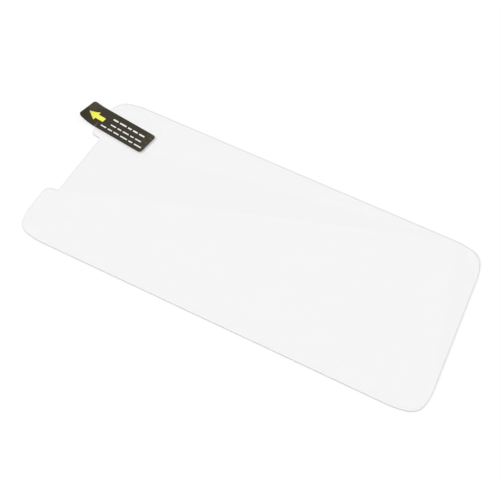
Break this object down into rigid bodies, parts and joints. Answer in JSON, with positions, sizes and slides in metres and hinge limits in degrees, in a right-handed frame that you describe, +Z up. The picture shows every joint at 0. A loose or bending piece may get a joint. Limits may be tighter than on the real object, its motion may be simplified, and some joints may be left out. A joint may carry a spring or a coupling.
{
  "type": "phone screen protector",
  "caption": "Clear tempered glass screen protector with rounded corners and a notch, in its release film, with a dark pull tab on one ear.",
  "frame": {"origin": "middle of the pane on the front face that it lies on", "axes": "+X along the length, away from the notch; +Y across, towards the ear with the tab; +Z up, out of the back of the pane"},
  "size_m": [0.1508, 0.0684, 0.0026],
  "materials": {
    "glass": "clear tempered glass, polished, with a ground edge",
    "adhesive": "clear soft adhesive",
    "film": "clear glossy release film",
    "tab": "dark warm grey printed film with a satin finish"
  },
  "bodies": {
    "root": {"glass_pane": "glass", "adhesive_layer": "adhesive", "liner_film": "film", "pull_tab": "tab"}
  },
  "joints": []
}
